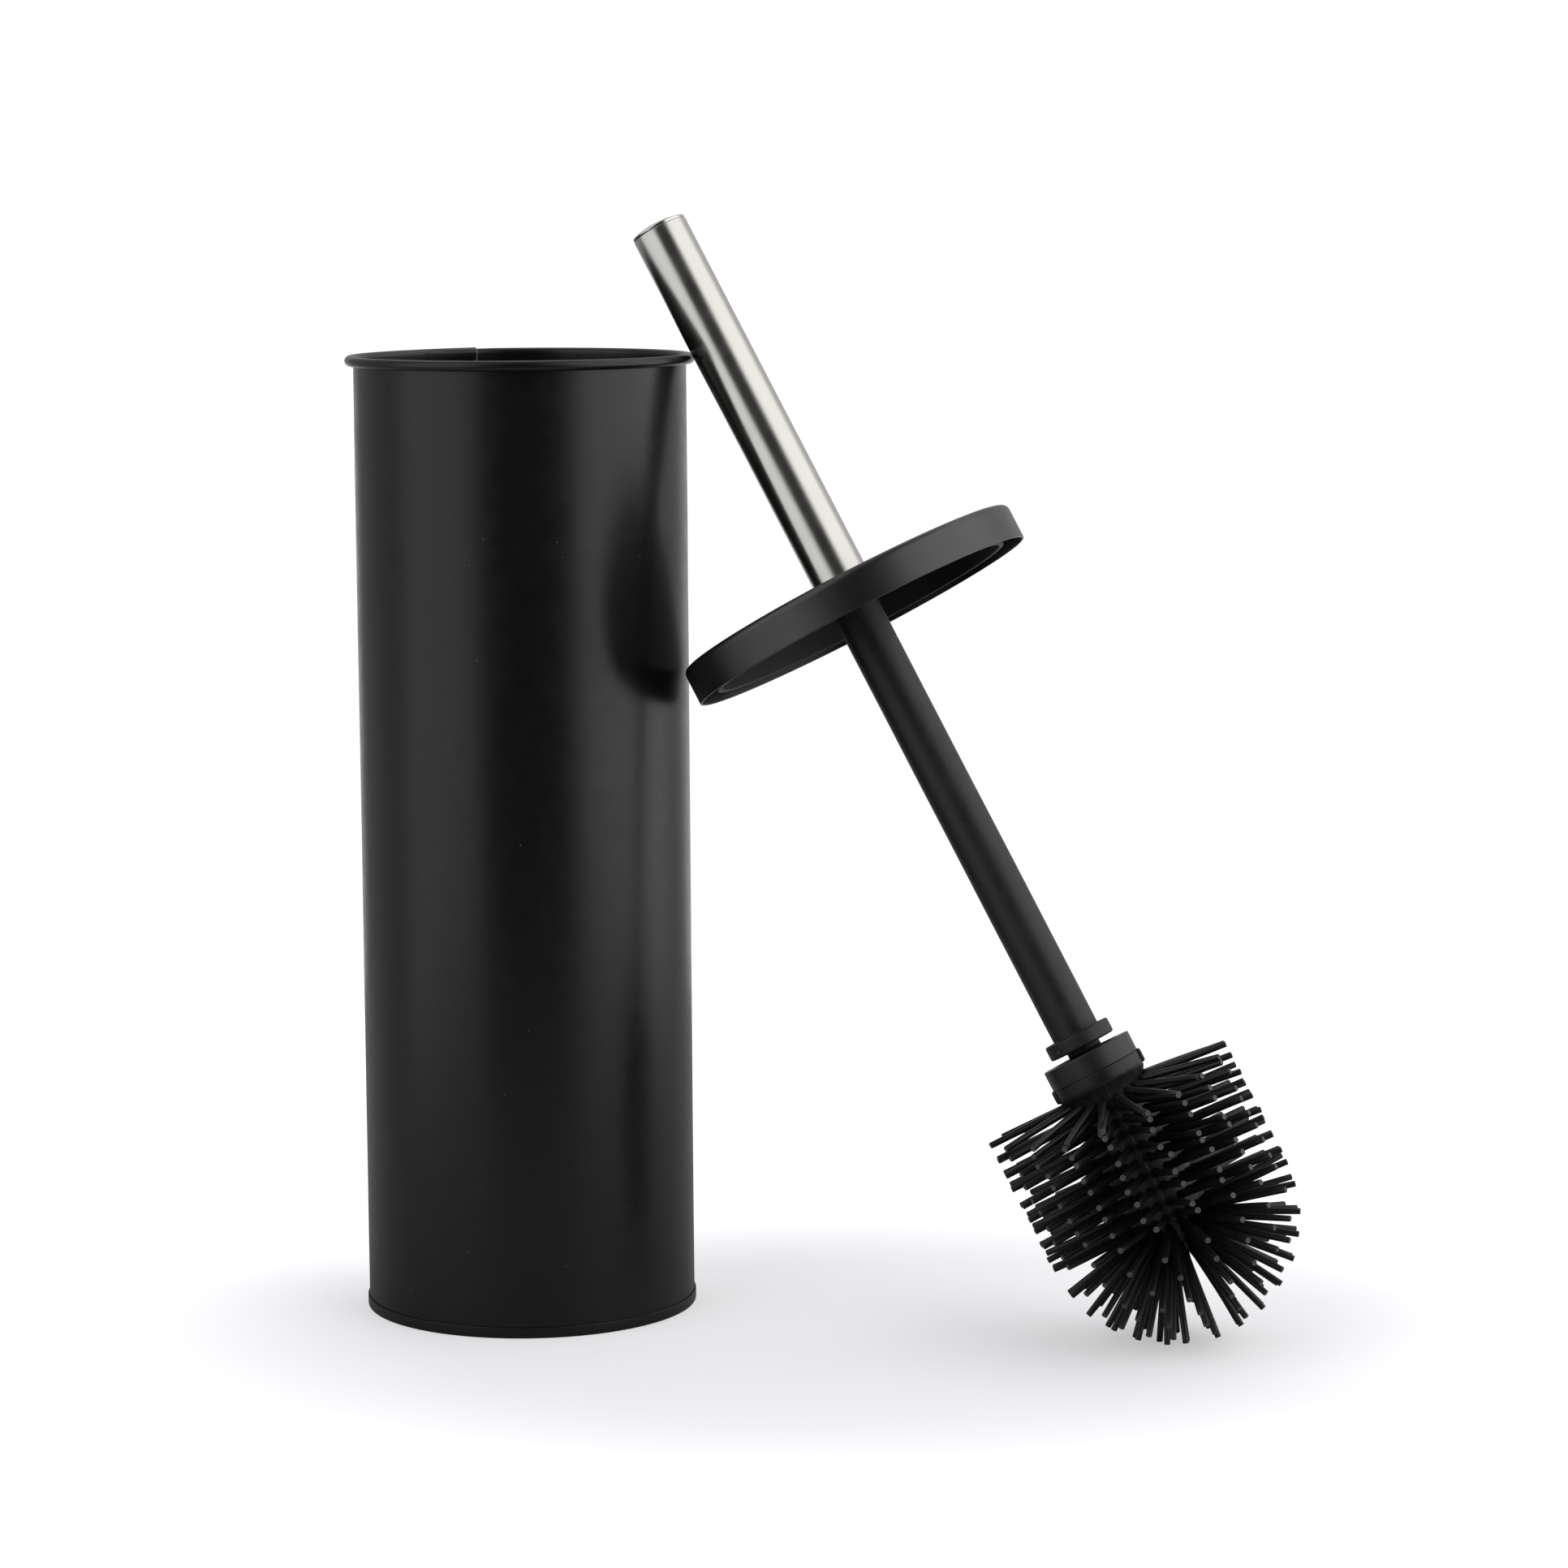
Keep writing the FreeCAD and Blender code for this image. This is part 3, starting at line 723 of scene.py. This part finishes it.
def add_collar_mark(work):
    """The small round ejector mark on the collar: a shallow ring and a dimple."""
    facing = math.radians(MARK_ANGLE)
    outward = Vector((math.cos(facing), math.sin(facing), 0))
    across = UP.cross(outward)
    middle = outward * (COLLAR_R - 0.02 * MM)
    middle.z = (COLLAR_LOW + COLLAR_HIGH) / 2
    rings = []
    for radius, rise in MARK_OUTLINE:
        centre = middle + outward * rise * MM
        ring = []
        for turn in even_angles(MARK_SIDES):
            spoke = across * math.cos(turn) + UP * math.sin(turn)
            ring.append(work.verts.new(centre + spoke * radius * MM))
        rings.append(ring)
    join_rings(work, rings)
    bmesh.ops.remove_doubles(work, verts=[v for ring in rings for v in ring], dist=1e-7)


def make_stem():
    low = rod.low
    outline = [(0, low), (SPIGOT_R - 1.2 * MM, low), (SPIGOT_R - 0.6 * MM, low + 0.4 * MM)]
    outline += run((SPIGOT_R, low + 0.8 * MM), (SPIGOT_R, THREAD_TOP), THREAD_ROWS)
    outline += rounded([
        (SPIGOT_R, THREAD_TOP),
        (SPIGOT_R, COLLAR_LOW, 0.15 * MM),
        (COLLAR_R, COLLAR_LOW, 0.7 * MM),
        (COLLAR_R, COLLAR_HIGH, 0.7 * MM),
        (ROD_R, COLLAR_HIGH, 0.3 * MM),
        (ROD_R, SHOULDER, 0.3 * MM),
        (NECK_R, SHOULDER, 0.1 * MM),
        (NECK_R, rod.high, 0.2 * MM),
        (STUD_R, rod.high),
    ], closed=False)[1:]
    outline += [(STUD_R, SHOULDER - STUD_DEPTH), (0, SHOULDER - STUD_DEPTH)]
    outline = long_runs_split(outline, 6 * MM)
    work = turned_mesh(outline, even_angles(COARSE), closed=False, shape=stem_shape)
    add_collar_mark(work)
    piece_from("stem_rod", work, BRUSH, "stem", STEM_PLASTIC, ["stem"])


# ---------------------------------------------------------------- bristle head

RING_R = core.outer
RING_LOW = core.high - 5.9 * MM
CUP_R = 10.0 * MM
CUP_FLOOR = core.high - 4.4 * MM
SOCKET_R = 5.06 * MM
SOCKET_FLOOR = rod.low - 3.2 * MM
CORE_R = -core.low
SLEEVE_R = CORE_R + 3.2 * MM
CUFF_R = 13.1 * MM
CUFF_LOW = RING_LOW - 4.1 * MM
EAR_REACH = 0.8 * MM
EAR_WIDTH = 4.4 * MM
EAR_EDGE = 0.7 * MM
EAR_ROOT = 1.6 * MM  # how far into the cuff an ear starts
SLIT_ANGLE = -20.0  # the slit in the screw ring's lower edge, beside an ear
SLIT_WIDTH = 1.2  # degrees to either side
SLIT_DEPTH = 0.5 * MM
PARTING_RIDGE = 0.25 * MM
CUFF_WANDER = 0.18 * MM
FIT = 0.02 * MM  # between sleeve and core, so that they don't share a face


def core_shape(r, z, angle):
    """A short slit in the screw ring, where its mould parted."""
    side = abs((math.degrees(angle) - SLIT_ANGLE + 180) % 360 - 180)
    if side < SLIT_WIDTH and z < RING_LOW + 2.0 * MM and r > RING_R - 0.8 * MM:
        r -= SLIT_DEPTH * (1 - smooth_step(side, 0.5, SLIT_WIDTH))
    return r, z


def make_head_core():
    ball = arc(0, 0, CORE_R, -90, 0, 12)
    outline = ball + rounded([
        (CORE_R, 0),
        (CORE_R, RING_LOW),
        (RING_R - 0.05 * MM, RING_LOW, 0.18 * MM),
        (RING_R, RING_LOW + 2 * MM),
        (RING_R, core.high, 0.4 * MM),
        (CUP_R, core.high, 0.35 * MM),
        (CUP_R - 0.2 * MM, CUP_FLOOR, 0.5 * MM),
        (SOCKET_R, CUP_FLOOR, 0.3 * MM),
        (SOCKET_R, SOCKET_FLOOR),
        (0, SOCKET_FLOOR),
    ], closed=False)[1:]
    slit = [math.radians(SLIT_ANGLE + k * 0.3) for k in range(-5, 6)]
    angles = sorted({a % (2 * math.pi) for a in even_angles(FINE) + slit})
    work = turned_mesh(outline, angles, closed=False, shape=core_shape)
    piece_from("head_screw_ring", work, BRUSH, "head", RING_PLASTIC, ["head_core"])


def sleeve_shape(r, z, angle):
    """The sleeve's parting ridges, and a cuff that is a little uneven round its edge."""
    seam = abs(math.sin(2 * angle))
    if r > SLEEVE_R - 0.3 * MM and z < CUFF_LOW:
        r += PARTING_RIDGE * (1 - smooth_step(seam, 0.02, 0.10))
    if r > SLEEVE_R + MM:
        out = Vector((math.cos(angle), math.sin(angle), 0))
        below_ring = 1 - smooth_step(z, CUFF_LOW, RING_LOW)
        z += noise.noise(out * 1.5 + Vector((2, 7, 4))) * CUFF_WANDER * below_ring
    return r, z


def make_sleeve():
    inside = CORE_R + FIT
    outline = arc(0, 0, SLEEVE_R, -90, 0, steps=20)
    outline += run((SLEEVE_R, 0), (SLEEVE_R, CUFF_LOW - 4 * MM), steps=16)
    outline += rounded([
        (SLEEVE_R, CUFF_LOW - 4 * MM),
        (SLEEVE_R + 0.7 * MM, CUFF_LOW - 1.6 * MM, 1.4 * MM),
        (CUFF_R, CUFF_LOW + 0.4 * MM, 1.8 * MM),
        (CUFF_R, RING_LOW - FIT, 0.35 * MM),
        (inside, RING_LOW - FIT),
    ], closed=False)[1:]
    outline += [(inside, 0)] + arc(0, 0, inside, 0, -90, steps=12)[1:]
    work = turned_mesh(outline, even_angles(FINE), closed=False, shape=sleeve_shape)
    for side in (-1, 1):
        near = side * (CUFF_R - EAR_ROOT)
        far = side * (CUFF_R + EAR_REACH)
        low = (min(near, far), -EAR_WIDTH / 2, CUFF_LOW + 0.3 * MM)
        high = (max(near, far), EAR_WIDTH / 2, RING_LOW + 0.25 * MM)
        round_box(work, low, high, EAR_EDGE)
    piece_from("head_cuff", work, BRUSH, "head", RUBBER, ["bristle_sleeve"])


# ---------------------------------------------------------------- bristles

TIP_REACH = 36.4 * MM  # the head's axis to the bristle tips
ROOT_REACH = SLEEVE_R - 0.7 * MM  # and to their roots, inside the sleeve
ROOT_R = 1.12 * MM
ROOT_FLARE = 0.35 * MM
TIP_R = 0.88 * MM
# round the cut edge of a tip and into its face: (mm back from the end, share of the tip's radius)
TIP_OUTLINE = [(0.16, 1.0), (0.04, 0.95), (0.0, 0.84), (0.0, 0.60), (0.10, 0.34)]
GROUPS = 4
COLUMNS_PER_GROUP = 5
SEAM_GAP = 22.0  # degrees between the last column of a group and the first of the next
RING_COUNT = 10
TOP_MARGIN = 1.7 * MM
DOME_PITCH = 11.5  # degrees between the dome's rings
DOME_CROWDING = 1.15
SIDES = 12
BRISTLE_ROWS = 9
TURN_JITTER = 0.8  # degrees, as the next one
DROP_JITTER = 0.9
SHORTEST, LONGEST = -0.20, 0.45  # mm that a bristle's length may differ
LEAN_JITTER = 0.35  # mm that a tip bends aside
SAG = -0.25  # mm that a tip bends down, on average
FLOOR_CLEARANCE = 0.03 * MM
FRONT = 270.0  # the side that faces the viewer, round the brush's own axis
RIGHT = 0.0
SEED = 11


def column_angles():
    """Equal groups of columns, with a wider gap at each parting line."""
    quarter = 360 / GROUPS
    step = (quarter - SEAM_GAP) / (COLUMNS_PER_GROUP - 1)
    columns = range(COLUMNS_PER_GROUP)
    return [group * quarter + SEAM_GAP / 2 + k * step for group in range(GROUPS) for k in columns]


def droop(ring, angle):
    """How many degrees a bristle on the straight part points below level."""
    front = max(0.0, math.cos(math.radians(angle - FRONT)))
    right = math.cos(math.radians(angle - RIGHT))
    crowded = math.exp(-ring / 1.3)  # the top rings are pressed down by the cuff
    general = 2.0 * (1 - ring / RING_COUNT)
    return general + 14.0 * front**2 * crowded + 4.0 * right * (0.4 + 0.6 * crowded)


def bristle_places():
    """(height, angle, fall) of every bristle: the rings of the straight part, then the dome's."""
    columns = column_angles()
    pitch = (CUFF_LOW - TOP_MARGIN) / (RING_COUNT - 1)
    places = []
    for ring in range(RING_COUNT):
        height = pitch * (RING_COUNT - 1 - ring)
        places += [(height, angle, droop(ring, angle)) for angle in columns]
    for ring in range(1, int(90 / DOME_PITCH) + 1):
        fall = ring * DOME_PITCH
        share = math.cos(math.radians(fall)) * DOME_CROWDING
        count = GROUPS * max(1, round(COLUMNS_PER_GROUP * min(1.0, share)))
        even = [(k + 0.5) * 360 / count for k in range(count)]
        places += [(0.0, angle, fall) for angle in (columns if count == len(columns) else even)]
    return places


def add_bristle(work, height, angle, fall, dice):
    """One soft tapered bristle with a flared root, a slight bend and a squarely cut tip."""
    turn = math.radians(angle + dice.gauss(0, TURN_JITTER))
    drop = math.radians(fall + dice.gauss(0, DROP_JITTER))
    level = Vector((math.cos(turn), math.sin(turn), 0))
    aim = level * math.cos(drop) - UP * math.sin(drop)
    root = UP * height + aim * ROOT_REACH
    length = TIP_REACH - ROOT_REACH + dice.uniform(SHORTEST, LONGEST) * MM
    side = aim.cross(UP).normalized()
    rise = side.cross(aim).normalized()
    lean = side * dice.gauss(0, LEAN_JITTER) * MM + rise * dice.gauss(SAG, LEAN_JITTER) * MM
    profile = []
    for row in range(BRISTLE_ROWS + 1):
        share = row / BRISTLE_ROWS
        flare = ROOT_FLARE * (1 - smooth_step(share, 0.0, 0.14))
        radius = ROOT_R + (TIP_R - ROOT_R) * share + flare
        profile.append((root + aim * length * share + lean * share**2, radius))
    tip = profile.pop()[0]
    heading = (tip - profile[-1][0]).normalized()
    profile += [(tip - heading * back * MM, TIP_R * share) for back, share in TIP_OUTLINE]
    across = heading.cross(rise).normalized()
    upward = across.cross(heading).normalized()
    loops = []
    for centre, radius in profile:
        loop = []
        for spin in even_angles(SIDES):
            spoke = across * math.cos(spin) + upward * math.sin(spin)
            loop.append(work.verts.new(centre + spoke * radius))
        loops.append(loop)
    join_rings(work, loops, first_cut_row=BRISTLE_ROWS + 1)
    end = work.faces.new(loops[-1])
    end.material_index = 1
    work.faces.new(list(reversed(loops[0])))


def keep_above_floor(work):
    """Bristles that reach the floor rest on it: their ends are pushed up, never through."""
    for vert in work.verts:
        spot = BRUSH @ vert.co
        if spot.z < FLOOR_CLEARANCE:
            spot.z = FLOOR_CLEARANCE
            vert.co = BRUSH.inverted() @ spot


def make_bristles():
    dice = random.Random(SEED)
    work = bmesh.new()
    for height, angle, fall in bristle_places():
        add_bristle(work, height, angle, fall, dice)
    keep_above_floor(work)
    piece_from("head_bristles", work, BRUSH, "head", [RUBBER, PALE_TIP_RUBBER], ())


# ---------------------------------------------------------------- hidden CAD nodes


def dress_kept_nodes():
    """The screw insert and the stud keep their CAD shape and get their own materials."""
    for node, material, slot in (
        ("handle_insert", INSERT_PLASTIC, "insert_plastic"),
        ("stem_stud", STUD_STEEL, "stud_steel"),
    ):
        kept = frame["nodes"][node]
        kept.data.materials.clear()
        kept.data.materials.append(material)


# ---------------------------------------------------------------- stage, light and camera

FLOOR_HALF = 0.5
FLOOR_MIDDLE = Vector((0.07, 0.0, 0))
FLOOR_GLOW = 0.40  # what the floor gives off by itself under the set, so that it stays pale
FLOOR_GLOW_FAR = 1.6 * FLOOR_GLOW  # and far from it, where the photo's floor is plain white
SHADE_CENTRE = Vector((0.092, -0.043, 0))
SHADE_SIZE = (0.14, 0.11)
SHADE_FADE = (0.7, 1.75)  # from under the set to far from it, in shade sizes

COOL = (0.96, 0.975, 1.00)
NEUTRAL = (0.98, 0.98, 0.98)
WARM = (1.00, 0.992, 0.98)
WARMER = (1.00, 0.99, 0.965)
WHITE = (1.00, 1.00, 1.00)
ALL_ROUND = (-400, 400)
BEHIND = 120  # a panel that starts past this may cross the line straight behind the set

# Soft panels round the set. Angles are in degrees: azimuth from the viewer's side (-Y), positive to
# the viewer's right, and elevation from level. Each is a range and the blur of its ends.
Panel = namedtuple("Panel", "colour strength azimuth azimuth_blur elevation elevation_blur")
PANELS = [
    Panel(COOL, 0.34, (-86, -30), 16, (-60, -22), 14),
    Panel(COOL, 1.00, (-86, -30), 16, (-22, -2), 14),
    Panel(NEUTRAL, 1.05, (-86, -24), 16, (-2, 62), 14),
    Panel(COOL, 0.32, (-148, -86), 16, (-60, 62), 14),
    Panel(WARM, 1.62, (42, 118), 22, (-60, 10), 14),
    Panel(WARM, 1.42, (30, 118), 24, (10, 62), 14),
    Panel(WARMER, 0.60, (118, 150), 16, (-10, 62), 14),
    Panel(WHITE, 0.90, (150, 210), 14, (-60, -2), 6),
    Panel(WHITE, 0.50, (150, 210), 14, (-2, 62), 6),
    Panel(WHITE, 0.22, ALL_ROUND, 10, (62, 120), 14),
    Panel(WHITE, 0.035, ALL_ROUND, 10, (-120, 120), 10),
]
BACKGROUND_STRENGTH = 1.05


def floor_material():
    """White to the viewer, and a plain mid-grey in the set's own reflections."""
    nodes = Nodes("floor_white")
    paper = nodes.mix(nodes.grain(30 * MM), (0.77, 0.77, 0.81), (0.79, 0.79, 0.83))
    soft = nodes.add("ShaderNodeBsdfDiffuse", {"Color": paper})
    wide, deep = SHADE_SIZE
    from_set = nodes.stretched(1 / wide, 1 / deep, 0)
    far = nodes.add("ShaderNodeVectorMath", {0: from_set}, operation="LENGTH").outputs["Value"]
    strength = nodes.ranged(far, SHADE_FADE, (FLOOR_GLOW, FLOOR_GLOW_FAR))
    glow = nodes.add("ShaderNodeEmission", {"Color": (1, 1, 1, 1), "Strength": strength})
    bright = nodes.add("ShaderNodeAddShader", {0: soft.outputs[0], 1: glow.outputs[0]})
    dim = nodes.add("ShaderNodeBsdfDiffuse", {"Color": (0.50, 0.50, 0.51, 1)})
    seen = nodes.add("ShaderNodeLightPath").outputs["Is Camera Ray"]
    either = nodes.add("ShaderNodeMixShader", {0: seen, 1: dim.outputs[0], 2: bright.outputs[0]})
    nodes.tree.nodes.remove(nodes.shader)
    nodes.feed(nodes.tree.nodes["Material Output"].inputs["Surface"], either.outputs[0])
    return nodes.material


def make_floor():
    """A pale floor that dims softly round the set; its origin is the middle of that shade."""
    work = bmesh.new()
    bmesh.ops.create_grid(work, x_segments=8, y_segments=8, size=FLOOR_HALF)
    bmesh.ops.translate(work, vec=FLOOR_MIDDLE - SHADE_CENTRE, verts=work.verts)
    mesh = bpy.data.meshes.new("floor")
    work.to_mesh(mesh)
    work.free()
    mesh.materials.append(floor_material())
    floor = bpy.data.objects.new("floor", mesh)
    floor.location = SHADE_CENTRE
    bpy.context.scene.collection.objects.link(floor)


def band(sky, value, ends, blur):
    """1 between two ends, falling smoothly to 0 over the blur at each."""
    low, high = ends
    rising = sky.ranged(value, (low - blur / 2, low + blur / 2), FULL)
    falling = sky.ranged(value, (high - blur / 2, high + blur / 2), FADING)
    return sky.maths("MULTIPLY", rising, falling)


def make_world():
    """Plain white to the camera, and the soft panels to everything else."""
    world = bpy.data.worlds.new("studio")
    bpy.context.scene.world = world
    world.use_nodes = True
    sky = Tree(world.node_tree)
    sky.tree.nodes.clear()
    direction = sky.add("ShaderNodeTexCoord").outputs["Generated"]
    x, y, z = sky.add("ShaderNodeSeparateXYZ", {0: direction}).outputs
    azimuth = sky.maths("DEGREES", sky.maths("ARCTAN2", x, sky.maths("MULTIPLY", y, -1)))
    past_back = sky.maths("LESS_THAN", azimuth, -150)
    wrapped = sky.maths("ADD", azimuth, sky.maths("MULTIPLY", past_back, 360))
    elevation = sky.maths("DEGREES", sky.maths("ARCSINE", z))
    total = None
    for panel in PANELS:
        around = wrapped if panel.azimuth[0] > BEHIND else azimuth
        across = band(sky, around, panel.azimuth, panel.azimuth_blur)
        upward = band(sky, elevation, panel.elevation, panel.elevation_blur)
        strength = sky.maths("MULTIPLY", sky.maths("MULTIPLY", across, upward), panel.strength)
        parts = {0: panel.colour, "Scale": strength}
        glow = sky.add("ShaderNodeVectorMath", parts, operation="SCALE").outputs[0]
        if total is None:
            total = glow
        else:
            total = sky.add("ShaderNodeVectorMath", {0: total, 1: glow}, operation="ADD").outputs[0]
    light = sky.add("ShaderNodeBackground", {"Color": total})
    plain = {"Color": (1, 1, 1, 1), "Strength": BACKGROUND_STRENGTH}
    white = sky.add("ShaderNodeBackground", plain)
    seen = sky.add("ShaderNodeLightPath").outputs["Is Camera Ray"]
    either = sky.add("ShaderNodeMixShader", {0: seen, 1: light.outputs[0], 2: white.outputs[0]})
    sky.add("ShaderNodeOutputWorld", {"Surface": either.outputs[0]})


def add_softbox(name, place, aim, width, height, power):
    """A rectangular area light at a place, aimed at a point."""
    lamp = bpy.data.lights.new(name, "AREA")
    lamp.shape = "RECTANGLE"
    lamp.size = width
    lamp.size_y = height
    lamp.energy = power
    box = bpy.data.objects.new(name, lamp)
    box.location = place
    box.rotation_euler = (Vector(aim) - Vector(place)).to_track_quat("-Z", "Y").to_euler()
    bpy.context.scene.collection.objects.link(box)


CAMERA_PLACE = (0.077673, -1.33376, 0.327109)
CAMERA_LENS = 106.83
CAMERA_DOWN = math.radians(7.491)
CAMERA_SWING = math.radians(0.128)
CAMERA_ROLL = math.radians(-0.370)


def make_camera():
    """The photo's viewpoint, fitted to the outlines of the holder and of the brush."""
    lens = bpy.data.cameras.new("camera")
    lens.lens = CAMERA_LENS
    lens.sensor_width = 36.0
    lens.clip_start = 0.05
    lens.clip_end = 30.0
    camera = bpy.data.objects.new("camera", lens)
    tilt = Matrix.Rotation(math.pi / 2 - CAMERA_DOWN, 4, "X")
    swing = Matrix.Rotation(CAMERA_SWING, 4, "Z")
    roll = Matrix.Rotation(CAMERA_ROLL, 4, "Z")
    camera.matrix_world = Matrix.Translation(CAMERA_PLACE) @ swing @ tilt @ roll
    bpy.context.scene.collection.objects.link(camera)
    bpy.context.scene.camera = camera


# ---------------------------------------------------------------- everything

make_camera()
make_world()
make_floor()
add_softbox("overhead", (0.10, 0.42, 1.15), aim=(0.08, 0.0, 0.0), width=1.3, height=0.7, power=1.5)
bpy.context.scene.view_settings.view_transform = "Standard"

make_wall()
make_hem()
make_tube()
make_end_cap()
make_lid()
make_liner()
make_stem()
make_head_core()
make_sleeve()
make_bristles()
dress_kept_nodes()
